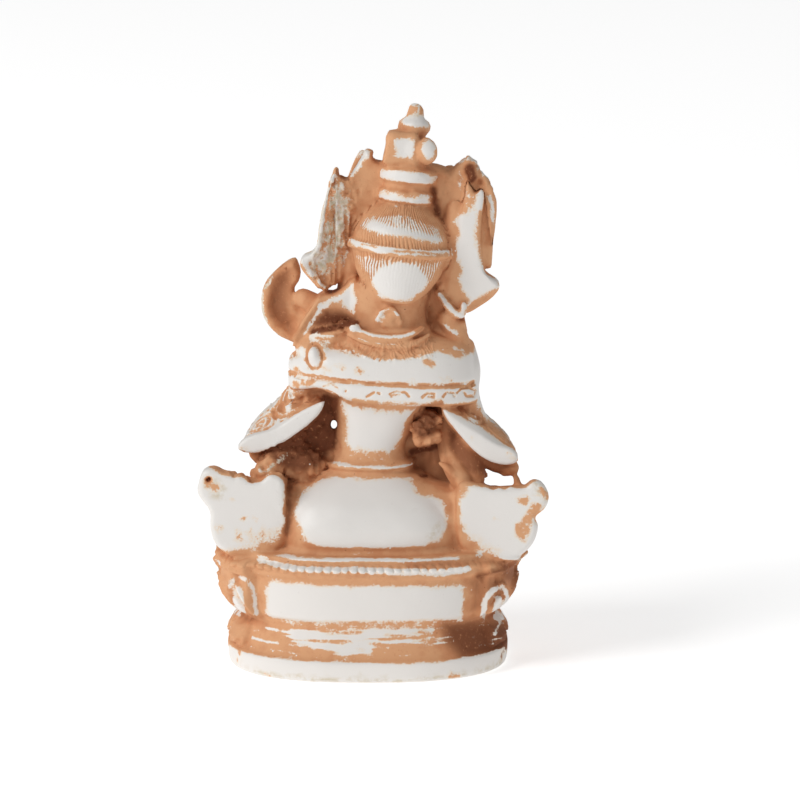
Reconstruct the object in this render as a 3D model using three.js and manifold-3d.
// A small cast resin figure: a seated goddess with a lute, on an oval lotus plinth, all poured as one solid.
// Millimetres, +Z up. The figure faces -Y, her left hand is on +X, and the origin is under the middle.
import * as THREE from "three";
import { mergeVertices } from "three/addons/utils/BufferGeometryUtils.js";
import Module from "manifold-3d";

const wasm = await Module();
wasm.setup();

// Driving dimensions
const PLINTH_HALF_WIDTH = 19.4;
const PLINTH_HALF_DEPTH = 14.4;
const PLINTH_SQUARENESS = 2.5; // 2 is an ellipse, more is boxier
const LOTUS_HALF_WIDTH = 19.9; // the upper lotus, under its petals
const SEAT_HEIGHT = 17;
const PETALS = 13; // in each row, round the front and sides
const PETAL_REACH = 133; // how far round from the front the petals go, in degrees
const CAPE_HALF_WIDTH = 13;
const CAPE_CENTRE = [-2.2, 0.6, 38];
const CAPE_LEAN = 3.1; // degrees: the body leans to her right as it rises
const CAPE_BAND_SLOPE = 0.11; // the lower band climbs towards her left, against that lean
const HEAD_CENTRE = [-4.4, -0.4, 56.8];
const HEAD_LEAN = 6.5;
const HEAD_BOW = 3;
const HEAD_HALF_WIDTH = 7.2;
const HAIR_FLUTES = 13;
const CROWN_THICKNESS = 1.3;
const CROWN_WALL = { back: -0.2, thickness: 3 }; // the inner wall, close behind the head
const SLEEVE_BACK = 6; // the flat hems of the sleeves
const KNEE_BACK = 9; // the flat backs of the knees
const LEFT_SLEEVE = { centre: [11.7, 0, 33.85], halfLength: 6.6, slope: 29.7, dome: 2.1, lean: 1.2 };
const RIGHT_SLEEVE = { centre: [-15.5, 0, 32.85], halfLength: 6.4, slope: -36.3, dome: 1.5, lean: -0.3 };

const DEGREE = Math.PI / 180;
const WASHED_RESIN = new THREE.MeshStandardMaterial({ color: 0xdcc7b0, roughness: 0.55, metalness: 0 });

// A geometry as a closed solid that can be joined and cut, with its faces turned outwards.
function solid(geometry) {
  const bare = geometry.index ? geometry.toNonIndexed() : geometry.clone();
  bare.deleteAttribute("normal");
  bare.deleteAttribute("uv");
  const merged = mergeVertices(bare, 1e-4);
  const vertProperties = merged.attributes.position.array;
  const triVerts = new Uint32Array(merged.index.array);
  const made = new wasm.Manifold(new wasm.Mesh({ numProp: 3, vertProperties, triVerts }));
  if (made.volume() > 0) return made;
  triVerts.reverse();
  return new wasm.Manifold(new wasm.Mesh({ numProp: 3, vertProperties, triVerts }));
}

function turned(geometry, { x = 0, y = 0, z = 0 } = {}) {
  return geometry.rotateX(x * DEGREE).rotateY(y * DEGREE).rotateZ(z * DEGREE);
}

function ball(centre, radii, turn, across = 8, up = 6) {
  const geometry = new THREE.SphereGeometry(1, across, up).rotateX(Math.PI / 2);
  geometry.scale(...radii);
  return solid(turned(geometry, turn).translate(...centre));
}

// One closed skin over a row of rings that all have the same number of points, with a point at each end.
function skin(rings) {
  const count = rings[0].length;
  const points = rings.flat();
  const middle = (ring) =>
    ring.reduce((sum, p) => sum.add(p), new THREE.Vector3()).divideScalar(count);
  points.push(middle(rings[0]), middle(rings[rings.length - 1]));
  const first = points.length - 2;
  const last = points.length - 1;
  const faces = [];
  for (let i = 0; i < count; i++) {
    const j = (i + 1) % count;
    faces.push(first, j, i, last, (rings.length - 1) * count + i, (rings.length - 1) * count + j);
    for (let r = 0; r + 1 < rings.length; r++) {
      const low = r * count;
      const high = low + count;
      faces.push(low + i, low + j, high + j, low + i, high + j, high + i);
    }
  }
  const geometry = new THREE.BufferGeometry().setFromPoints(points);
  geometry.setIndex(faces);
  return geometry;
}

// A level oval ring; power makes it boxier, and flute presses a groove between each two neighbours. A ring
// with a slope climbs towards +X.
function oval({ x = 0, y = 0, z, a, b, power = 2, flute = 0, slope = 0 }, count) {
  return Array.from({ length: count }, (_, i) => {
    const angle = (i / count) * 2 * Math.PI;
    const c = Math.cos(angle);
    const s = Math.sin(angle);
    const groove = i % 2 ? flute : 0;
    const across = (a - groove) * Math.sign(c) * Math.abs(c) ** (2 / power);
    return new THREE.Vector3(
      x + across,
      y + (b - groove) * Math.sign(s) * Math.abs(s) ** (2 / power),
      z + slope * across,
    );
  });
}

const stack = (rings, count = 24) => skin(rings.map((ring) => oval(ring, count)));

// A limb, strap or scroll: an oval section that follows a smooth path. Each stop is [x, y, z, radius].
function limb(stops, sides = 10, steps = 10, flat = 1) {
  const path = new THREE.CatmullRomCurve3(stops.map(([x, y, z]) => new THREE.Vector3(x, y, z)));
  const frames = path.computeFrenetFrames(steps, false);
  const rings = [];
  for (let k = 0; k <= steps; k++) {
    const along = (k / steps) * (stops.length - 1);
    const before = Math.min(Math.floor(along), stops.length - 2);
    const radius = THREE.MathUtils.lerp(stops[before][3], stops[before + 1][3], along - before);
    const centre = path.getPoint(k / steps);
    rings.push(
      Array.from({ length: sides }, (_, i) => {
        const angle = (i / sides) * 2 * Math.PI;
        return centre
          .clone()
          .addScaledVector(frames.normals[k], Math.cos(angle) * radius)
          .addScaledVector(frames.binormals[k], Math.sin(angle) * radius * flat);
      }),
    );
  }
  return solid(skin(rings));
}

// A flat plate seen from the back: its outline in X and Z, from the back edge forward, with bevelled edges.
function plate(outline, back, front, edge = 0.4) {
  const shape = new THREE.Shape(outline.map(([x, z]) => new THREE.Vector2(x, z)));
  const geometry = new THREE.ExtrudeGeometry(shape, {
    depth: back - front - 2 * edge,
    bevelThickness: edge,
    bevelSize: edge * 0.8,
    bevelOffset: -edge * 0.8,
    bevelSegments: 1,
  });
  return solid(geometry.rotateX(Math.PI / 2).translate(0, back - edge, 0));
}

const smooth = (outline, count) =>
  new THREE.CatmullRomCurve3(outline.map(([x, z]) => new THREE.Vector3(x, z, 0)), true, "catmullrom", 0.5)
    .getPoints(count)
    .slice(0, -1)
    .map((p) => [p.x, p.y]);

// A point on the plinth's oval outline, moved outwards by rise, for an angle from the front, -Y.
function onOval(a, b, angle, rise = 0) {
  const c = Math.sin(angle);
  const s = -Math.cos(angle);
  const x = a * Math.sign(c) * Math.abs(c) ** (2 / PLINTH_SQUARENESS);
  const y = b * Math.sign(s) * Math.abs(s) ** (2 / PLINTH_SQUARENESS);
  const out = new THREE.Vector2(
    (Math.sign(x) * Math.abs(x / a) ** (PLINTH_SQUARENESS - 1)) / a,
    (Math.sign(y) * Math.abs(y / b) ** (PLINTH_SQUARENESS - 1)) / b,
  ).normalize();
  return new THREE.Vector2(x, y).addScaledVector(out, rise);
}

// Angles that share part of the oval out evenly by length.
function evenAngles(count, from, to) {
  const samples = 400;
  const angleAt = (i) => from + ((to - from) * i) / samples;
  const lengths = [0];
  for (let i = 1; i <= samples; i++) {
    const before = onOval(PLINTH_HALF_WIDTH, PLINTH_HALF_DEPTH, angleAt(i - 1));
    const here = onOval(PLINTH_HALF_WIDTH, PLINTH_HALF_DEPTH, angleAt(i));
    lengths.push(lengths[i - 1] + here.distanceTo(before));
  }
  return Array.from({ length: count }, (_, k) => {
    const wanted = (k / count) * lengths[samples];
    return angleAt(lengths.findIndex((length) => length >= wanted));
  });
}

// The plinth swells outwards into two rows of petals round its front and sides. Its back is plain.
function plinth() {
  const PER_PETAL = 4;
  const PLAIN = 12;
  const reach = PETAL_REACH * DEGREE;
  const angles = [
    ...evenAngles(PETALS * PER_PETAL, -reach, reach),
    ...evenAngles(PLAIN, reach, 2 * Math.PI - reach),
  ];
  const a = PLINTH_HALF_WIDTH;
  const b = PLINTH_HALF_DEPTH;
  const lotus = LOTUS_HALF_WIDTH;
  // peak lifts the middle of a petal and flank its sides, so that a petal narrows where only the peak is left
  const rows = [
    { z: 0, a: a - 0.3, b: b - 0.3 },
    { z: 0.5, a, b },
    { z: 3, a: a + 0.1, b: b + 0.1 },
    { z: 3.4, a: a - 1, b: b - 0.7, peak: 0.7 },
    { z: 4.4, a: a - 1.3, b: b - 1.2, peak: 1.3, flank: 0.9 },
    { z: 5.8, a: a - 1.7, b: b - 1.9, peak: 1, flank: 0.8 },
    { z: 7.2, a: a - 2, b: b - 2.3 },
    { z: 7.9, a: a - 1.5, b: b - 1.7, peak: 0.6, flank: 0.5 },
    { z: 10, a: lotus - 1.3, b: b - 1.5, peak: 2.2, flank: 1.8 },
    { z: 12.2, a: lotus - 0.9, b: b - 1.2, peak: 2.6, flank: 1.9 },
    { z: 13.5, a: lotus - 0.5, b: b - 1.1, peak: 1.7, flank: 0.3 },
    { z: 14.2, a: lotus + 0.2, b: b - 0.4 },
    { z: 15.4, a: lotus + 0.2, b: b - 0.4 },
    { z: 15.9, a: lotus - 0.6, b: b - 1.2 },
    { z: SEAT_HEIGHT, a: lotus - 1, b: b - 1.6 },
  ];
  const rings = rows.map(({ z, a, b, peak = 0, flank = 0 }) =>
    angles.map((angle, i) => {
      const inPetals = i < PETALS * PER_PETAL;
      const rise = inPetals ? [0, flank, peak, flank][i % PER_PETAL] : 0;
      const point = onOval(a, b, angle, rise);
      return new THREE.Vector3(point.x, point.y, z);
    }),
  );
  return [solid(skin(rings))];
}

// The body from the seat to under the cape in one turn: hips, belt and the trunk that widens above it.
function body() {
  const rings = [
    { z: 16.4, a: 16, b: 10.8, y: 0.2, power: 2.6 },
    { z: 17.5, a: 15.6, b: 10.6, y: 0.4, power: 2.6 },
    { z: 18.1, a: 12.8, b: 9.2, y: 2.1, power: 3 },
    { z: 20.4, a: 12.2, b: 9.2, y: 2, power: 3.2 },
    { z: 22.8, a: 11.6, b: 8.5, y: 1.8, power: 3 },
    { z: 25, a: 9.9, b: 7.3, y: 1.4, power: 2.8 },
    { z: 26.9, a: 7.2, b: 5.8, y: 1.1, power: 2.4 },
    { z: 27.7, a: 6.1, b: 5.3, y: 0.9 },
    { z: 28, a: 6.3, b: 5.6, y: 0.9 },
    { z: 28.6, a: 6.1, b: 5.5, y: 0.8 },
    { z: 28.9, a: 5.3, b: 4.8, y: 0.8, x: -0.2 },
    { z: 30.4, a: 5, b: 4.4, y: 0.7, x: -0.2 },
    { z: 33.5, a: 5.8, b: 4.6, y: 0.6, x: -1 },
    { z: 36.5, a: 6.9, b: 4.9, y: 0.6, x: -1.7 },
    { z: 39.5, a: 8.8, b: 5.2, y: 0.6, x: -2.2 },
  ].map((ring) => ({ x: -0.3, power: 2.3, ...ring }));
  return [
    solid(stack(rings, 18)),
    ball([-0.8, -2.8, 31.5], [5, 3.4, 5.4]),
    // Webs of resin that close the gaps inside her arms
    ball([9.8, -0.2, 29.2], [5.3, 4.4, 8.2], { y: 16 }),
    ball([-11.4, -0.2, 29], [5.3, 4.4, 8.4], { y: -18 }),
    ball([-8.4, 0.4, 34.8], [2.8, 2.6, 3.8], {}, 8, 5),
  ];
}

// Crossed legs, and the flat-backed knees that reach out past the plinth.
function legs() {
  const leftKnee = [
    [11.2, 19], [11.2, 25.6], [12.4, 28.2], [14.6, 26.8], [17.7, 27], [19.7, 27.8], [21.2, 29], [22.7, 28.4],
    [23.3, 25.6], [21.4, 22.8], [21.4, 20.2], [20.5, 18.2], [17.7, 16.8], [13.5, 17.2],
  ];
  const rightKnee = [
    [-12.4, 18.6], [-14.4, 16.6], [-17.7, 16], [-20.2, 16.2], [-22.4, 18], [-23.3, 20.6], [-22.9, 22.2],
    [-24.6, 23.6], [-24.9, 25.2], [-23.7, 26.7], [-21.6, 26.6], [-19.4, 25.5], [-16.6, 25.8], [-13.4, 26.8],
    [-12, 24.8],
  ];
  return [
    plate(smooth(leftKnee, 24), KNEE_BACK, KNEE_BACK - 6, 0.7),
    plate(smooth(rightKnee, 24), KNEE_BACK, KNEE_BACK - 6, 0.7),
    // The thighs, then one shin laid over the other
    limb([[6, 4, 20.8, 5.4], [13.4, 2, 20.4, 5], [17.2, -3, 19.2, 4.4], [17.6, -8, 18.6, 2]], 8, 5),
    limb([[-7, 4, 20.8, 5.4], [-14.6, 2, 20, 4.9], [-18.6, -3, 18.8, 4.2], [-18.6, -8, 18.2, 2]], 8, 5),
    limb([[17, -6.4, 19.2, 3.4], [9, -10, 19, 3.2], [-5.5, -11.4, 18.7, 2]], 8, 4),
    limb([[-18, -6.4, 18.8, 3.4], [-9.5, -9.4, 20.6, 3.3], [4, -9, 23, 1.7]], 8, 4),
    ball([0, -3.6, 19.6], [11, 7.5, 5.2], {}, 10, 6),
  ];
}

// The short shoulder cape with its turned lower band, running up into the neck and its fringe of hair.
function cape() {
  const w = CAPE_HALF_WIDTH;
  const slope = CAPE_BAND_SLOPE;
  const rings = [
    { z: -1, a: w - 1.3, b: 5.5, slope },
    { z: -0.5, a: w - 0.1, b: 6.5, slope },
    { z: 1.6, a: w, b: 6.7, slope },
    { z: 2.1, a: w - 0.6, b: 6.2, slope },
    { z: 2.7, a: w - 0.1, b: 6.5, slope: slope * 0.9 },
    { z: 5, a: w - 0.5, b: 6.2, slope: slope * 0.4 },
    { z: 6.3, a: w - 1.7, b: 5.6, slope: slope * 0.1 },
    { z: 7.3, a: w - 4.6, b: 4.9, x: -0.5 },
    { z: 7.9, a: w - 6.6, b: 4.8, x: -0.5 },
    { z: 8.6, a: w - 6.6, b: 4.8, x: -0.6 },
    { z: 9, a: w - 7.2, b: 4.2, x: -0.7 },
    { z: 11.6, a: w - 7.6, b: 3.9, x: -1 },
    { z: 15.6, a: w - 7.8, b: 3.9, x: -1.2 },
  ].map((ring) => ({ ...ring, power: 2.4 }));
  return [
    solid(stack(rings, 20).rotateY(CAPE_LEAN * DEGREE).translate(...CAPE_CENTRE)),
    ball([7.2, 4.2, 43.3], [1, 1.2, 1.5]),
    ball([2.2, -4.9, 40.2], [3.1, 2.7, 3]),
    ball([-6.4, -4.9, 39.9], [3.1, 2.7, 3]),
  ];
}

// A bell sleeve: a lens-shaped flat hem at the back, a domed top, and a deeper fold in front.
function sleeve({ centre, halfLength, slope, dome, lean }) {
  const sections = [
    { back: 0, length: halfLength - 0.4, top: 0.3, bottom: 1.7 },
    { back: 0.4, length: halfLength, top: 0.6, bottom: 2 },
    { back: 1.8, length: halfLength, top: 0.8, bottom: 2.1 },
    { back: 2.4, length: halfLength - 0.2, top: 0.9, bottom: 1.4 },
    { back: 5, length: halfLength - 0.2, top: dome, bottom: 2.8, lean },
    { back: 9, length: halfLength - 0.8, top: dome, bottom: 3, lean },
    { back: 13, length: halfLength - 2.8, top: dome / 2, bottom: 1.6 },
  ];
  const rings = sections.map(({ back, length, top, bottom, lean = 0 }) =>
    Array.from({ length: 12 }, (_, i) => {
      const angle = (i / 12) * 2 * Math.PI;
      const across = Math.cos(angle);
      const rise = Math.sin(angle);
      return new THREE.Vector3(
        length * Math.sign(across) * Math.abs(across) ** 0.85,
        SLEEVE_BACK - back,
        rise * (rise > 0 ? top - lean * across : bottom),
      );
    }),
  );
  return solid(skin(rings).rotateY(slope * DEGREE).translate(...centre));
}

function arms() {
  return [
    limb([[7.8, 0.6, 41, 2.7], [8.8, 0.8, 38, 2.1], [11, 0, 34.6, 2.2], [13.2, -2.6, 31.8, 2.2]], 8, 4),
    limb([[-12, 0.6, 40.6, 2.7], [-13, 0.8, 37.4, 2.2], [-14.8, -0.4, 33.4, 2.2], [-16.6, -3, 30.4, 2.2]], 8, 4),
    sleeve(LEFT_SLEEVE),
    sleeve(RIGHT_SLEEVE),
    // Forearms and hands
    limb([[13.4, -4, 31.8, 2.2], [10.6, -8.4, 34.2, 1.9], [7.4, -9.6, 38, 1.5]], 8, 4),
    limb([[-16.4, -4, 30, 2.2], [-13, -10.6, 28.4, 1.9], [-8, -14, 29, 1.4]], 8, 4),
    ball([6.6, -9.8, 39.4], [1.9, 1.5, 2.2], { y: 20 }),
    ball([-6.4, -14.4, 29.4], [2.4, 1.3, 1.8], { y: 20 }),
    // A thin bridge of resin from her right sleeve to the knee
    limb([[-20.2, 2.8, 29.4, 0.8], [-20.2, 3.2, 27, 0.6], [-20.9, 4, 24.8, 0.8]], 6, 3),
  ];
}

// The lute lies across her lap, and its curled head stands over her left shoulder.
function lute() {
  const body = [
    { z: -6.6, a: 2.2, b: 1.4 },
    { z: -5.4, a: 4, b: 2.2 },
    { z: -2, a: 4.9, b: 2.6 },
    { z: 1.6, a: 3.8, b: 2.2 },
    { z: 5.4, a: 1.7, b: 1.3 },
  ];
  const bow = new THREE.Matrix4().makeBasis(
    new THREE.Vector3(0.67, 0.1, -0.735).normalize(),
    new THREE.Vector3(-0.26, 0.955, -0.11).normalize(),
    new THREE.Vector3(0.695, 0.265, 0.668).normalize(),
  );
  const scroll = [
    [8.6, -3.2, 42.4, 1.8], [11.3, -3, 46.6, 2.6], [12.2, -3, 50.2, 2.6], [11.7, -3, 52.9, 2],
    [10, -3, 55, 0.8],
  ];
  return [
    solid(stack(body, 14).applyMatrix4(bow).translate(-8.4, -12.2, 26.6)),
    limb([[-5, -10.9, 29.9, 1.2], [2, -8.6, 36.6, 1.05], [8.6, -4.2, 42.6, 1.2]], 7, 3),
    limb(scroll, 8, 8),
    limb([[6.6, -2.2, 48.6, 1.6], [8.6, -3, 50, 1.3], [10.4, -3, 50.6, 1.2]], 8, 3),
  ];
}

// Head parts are laid out round the head's own middle, then leaned with it.
function onHead(geometry) {
  return solid(
    geometry
      .rotateX(HEAD_BOW * DEGREE)
      .rotateY(-HEAD_LEAN * DEGREE)
      .translate(...HEAD_CENTRE),
  );
}

const headBall = (centre, radii, across = 6, up = 5) =>
  onHead(new THREE.SphereGeometry(1, across, up).rotateX(Math.PI / 2).scale(...radii).translate(...centre));

function head() {
  const w = HEAD_HALF_WIDTH;
  const flute = 0.3;
  // Hair hangs below the circlet like an upturned bowl, and rises above it as a dome
  const hair = [
    { z: -6.2, a: 2.6, b: 1.8, y: 4.1 },
    { z: -4.6, a: 4.4, b: 3.9, y: 2.6, flute },
    { z: -2.2, a: w - 1.2, b: 5.4, y: 1.6, flute },
    { z: 0, a: w - 0.4, b: 6, y: 1.2, flute },
    { z: 0.5, a: w - 0.6, b: 5.9, y: 1 },
    { z: 0.6, a: w + 0.1, b: 6.7, y: 0.6 },
    { z: 1.6, a: w + 0.1, b: 6.8, y: 0.4 },
    { z: 1.7, a: w - 0.7, b: w - 0.9, y: 0.4 },
    { z: 2.6, a: w - 0.6, b: w - 0.8, y: 0.4, flute },
    { z: 4.4, a: w - 1.5, b: w - 1.7, y: 0.3, flute },
    { z: 6.2, a: w - 3, b: w - 3.1, y: 0.2, flute },
    { z: 7.4, a: 3.2, b: 3.2 },
  ];
  return [
    onHead(stack(hair, 2 * HAIR_FLUTES)),
    headBall([0, -2.1, -1.7], [4.9, 4.7, 6], 10, 8),
    headBall([0, -6.5, -2.3], [0.75, 1.1, 1.3], 6, 4),
    // Ears
    headBall([5.2, -1.4, -2.8], [1, 1.3, 2.3]),
    headBall([-5.2, -1.4, -2.8], [1, 1.3, 2.3]),
    // The knot tied at the nape
    ball([-3.1, 4.1, 48.6], [1.7, 1.2, 2.1]),
  ];
}

// The bound hair on top: two rings, a block with a bead at its side, and a bud.
function topknot() {
  const profile = [
    [0, 6], [3.9, 6.6], [4.2, 7.6], [3.3, 8.6], [3.2, 9.5], [4.1, 10.2], [4, 11.4], [2.6, 12], [2.5, 15.5],
    [1.5, 16.2], [2.2, 17.4], [1.9, 18.6], [0.7, 20.3], [0, 20.8],
  ].map(([radius, height]) => new THREE.Vector2(radius, height));
  return [
    onHead(new THREE.LatheGeometry(profile, 14).rotateX(Math.PI / 2)),
    headBall([-2.3, 1.6, 14.3], [1.4, 1.5, 1.9], 8, 6),
    headBall([2.1, -0.8, 14], [1.1, 1.5, 1.8], 8, 6),
  ];
}

// The crown is a shell of five pointed leaves that wraps the head from ear to ear round the front.
function crown() {
  // Columns from her left: foot, middle and tip, each in X and Z, then Y and how far the middle swells
  const columns = [
    [5.6, 55.6, 5.2, 58.6, 4.8, 62, 1, 0.1],
    [5, 55.8, 4.6, 60.4, 3.5, 67.4, 0, 0.4],
    [4.5, 56.4, 4.2, 60, 3, 63.5, -1.6, 0.1],
    [3.4, 57, 3, 61.6, 1.7, 67.2, -3, 0.7],
    [1.8, 57.8, 1.4, 63, 0.2, 70.4, -4.5, 1.3],
    [0.2, 58.3, -0.3, 62.8, -0.9, 67.2, -5.4, 0.7],
    [-1.5, 58.6, -1.9, 61.8, -2.2, 64.6, -6, 0.1],
    [-3, 58.8, -3.3, 63.6, -3.7, 68.4, -6.5, 0.8],
    [-4.6, 58.9, -4.9, 65, -5.3, 71.4, -6.8, 1.4],
    [-6.2, 58.8, -6.6, 63.6, -7, 68.4, -6.5, 0.8],
    [-7.7, 58.6, -8.1, 61.8, -8.4, 64.6, -6.1, 0.1],
    [-9.2, 58.2, -9.6, 62.8, -9.7, 67.2, -5.5, 0.7],
    [-10.7, 57.6, -11.2, 63, -11.1, 68.2, -4.6, 1.3],
    [-12.1, 56.8, -12.5, 61.6, -12.5, 66.6, -3.4, 0.7],
    [-13.2, 56.2, -13.6, 60, -13.8, 63.6, -2.4, 0.1],
    [-14.6, 55.4, -15, 60, -14.8, 67, -0.8, 0.8],
    [-15.6, 55.2, -15.9, 58.4, -16.1, 64.4, 1, 0.2],
  ];
  const rings = columns.map(([footX, footZ, middleX, middleZ, tipX, tipZ, y, swell], i) => {
    const [, , beforeX, , , , beforeY] = columns[Math.max(i - 1, 0)];
    const [, , afterX, , , , afterY] = columns[Math.min(i + 1, columns.length - 1)];
    const out = new THREE.Vector3(beforeY - afterY, afterX - beforeX, 0).normalize();
    const inner = [
      new THREE.Vector3(footX, y, footZ),
      new THREE.Vector3(middleX, y, middleZ),
      new THREE.Vector3(tipX, y - 0.6, tipZ),
    ];
    const outer = inner.map((p, k) => p.clone().addScaledVector(out, CROWN_THICKNESS + (k === 1 ? swell : 0)));
    return [...inner, ...outer.reverse()];
  });
  const wall = [
    [3.8, 53.2], [5.6, 56.4], [5.6, 61], [4.9, 65.6], [4.2, 68], [2.9, 66.7], [1.6, 68.6], [0.1, 70.8],
    [-1, 69.4], [-3.5, 69.1], [-9.4, 68.8], [-11.6, 68.3], [-13.5, 69.5], [-14.6, 68], [-15.5, 61], [-15.4, 56],
    [-13, 51], [-8, 50], [0, 49],
  ];
  const leftLeaf = [
    [4.2, 68.2], [5.3, 65.6], [6.2, 61.8], [6.8, 58.3], [8.8, 56.6], [8.9, 54.9], [6.7, 52.3], [5.2, 52.2],
    [3.2, 53.4], [1.4, 57.4], [0.9, 61.6], [1.4, 65.8], [2.9, 66.8],
  ];
  const rightWing = [
    [-13.6, 66.9], [-15.7, 65.6], [-15.5, 58.5], [-15.9, 55.2], [-18, 52.9], [-17.6, 51.4], [-13.2, 48.7],
    [-11.2, 50.8], [-10.6, 53.2], [-11.6, 56.5], [-12.4, 60], [-12.9, 63.6],
  ];
  const leftRibbon = [
    [6.4, 51.3], [3.4, 52.2], [1.5, 53.9], [1.4, 48.5], [4.2, 48], [8.2, 45.9], [10.2, 44.4], [7.7, 49.4],
  ];
  // The headband along the feet of the leaves
  const band = columns.filter((_, i) => i % 3 === 1).map(([x, z, , , , , y]) => [x, y - 1, z + 0.2, 0.9]);
  return [
    solid(skin(rings)),
    limb(band, 6, 8),
    plate(wall, CROWN_WALL.back, CROWN_WALL.back - CROWN_WALL.thickness, 0.5),
    // The outer leaves, each in one with the pleated bow beside the ear, and the ribbon that falls from a bow
    plate(leftLeaf, 1.2, -2, 0.3),
    plate(rightWing, 2, -2.2, 0.5),
    plate(leftRibbon, 2.5, -2.4, 0.35),
    // Long locks beside the neck
    limb([[1.4, -2.4, 57.4, 2.6], [2.2, -1.6, 52, 1.9], [3.4, -1, 46, 2.6]], 8, 3),
    limb([[-10.2, -2.4, 56.4, 2.6], [-10.2, -1.6, 51.4, 2.6], [-11, -1, 45.4, 2.8]], 8, 3),
    limb([[-9.8, 1.2, 52, 1.1], [-12.4, 0.8, 48.4, 1.3], [-13.4, 0.4, 45.8, 1.3], [-14.2, 0, 43.4, 1.2]], 7, 5),
  ];
}

const parts = [
  ...plinth(), ...body(), ...legs(), ...cape(), ...arms(), ...lute(), ...head(), ...topknot(), ...crown(),
];
const casting = parts.slice(1).reduce((whole, next) => whole.add(next), parts[0]);

const { vertProperties, triVerts } = casting.getMesh();
const geometry = new THREE.BufferGeometry();
geometry.setAttribute("position", new THREE.BufferAttribute(vertProperties, 3));
geometry.setIndex(new THREE.BufferAttribute(triVerts, 1));
geometry.computeVertexNormals();

const figure = new THREE.Mesh(geometry, WASHED_RESIN);
figure.name = "goddess_figure";

const group = new THREE.Group();
group.add(figure);
export default group;
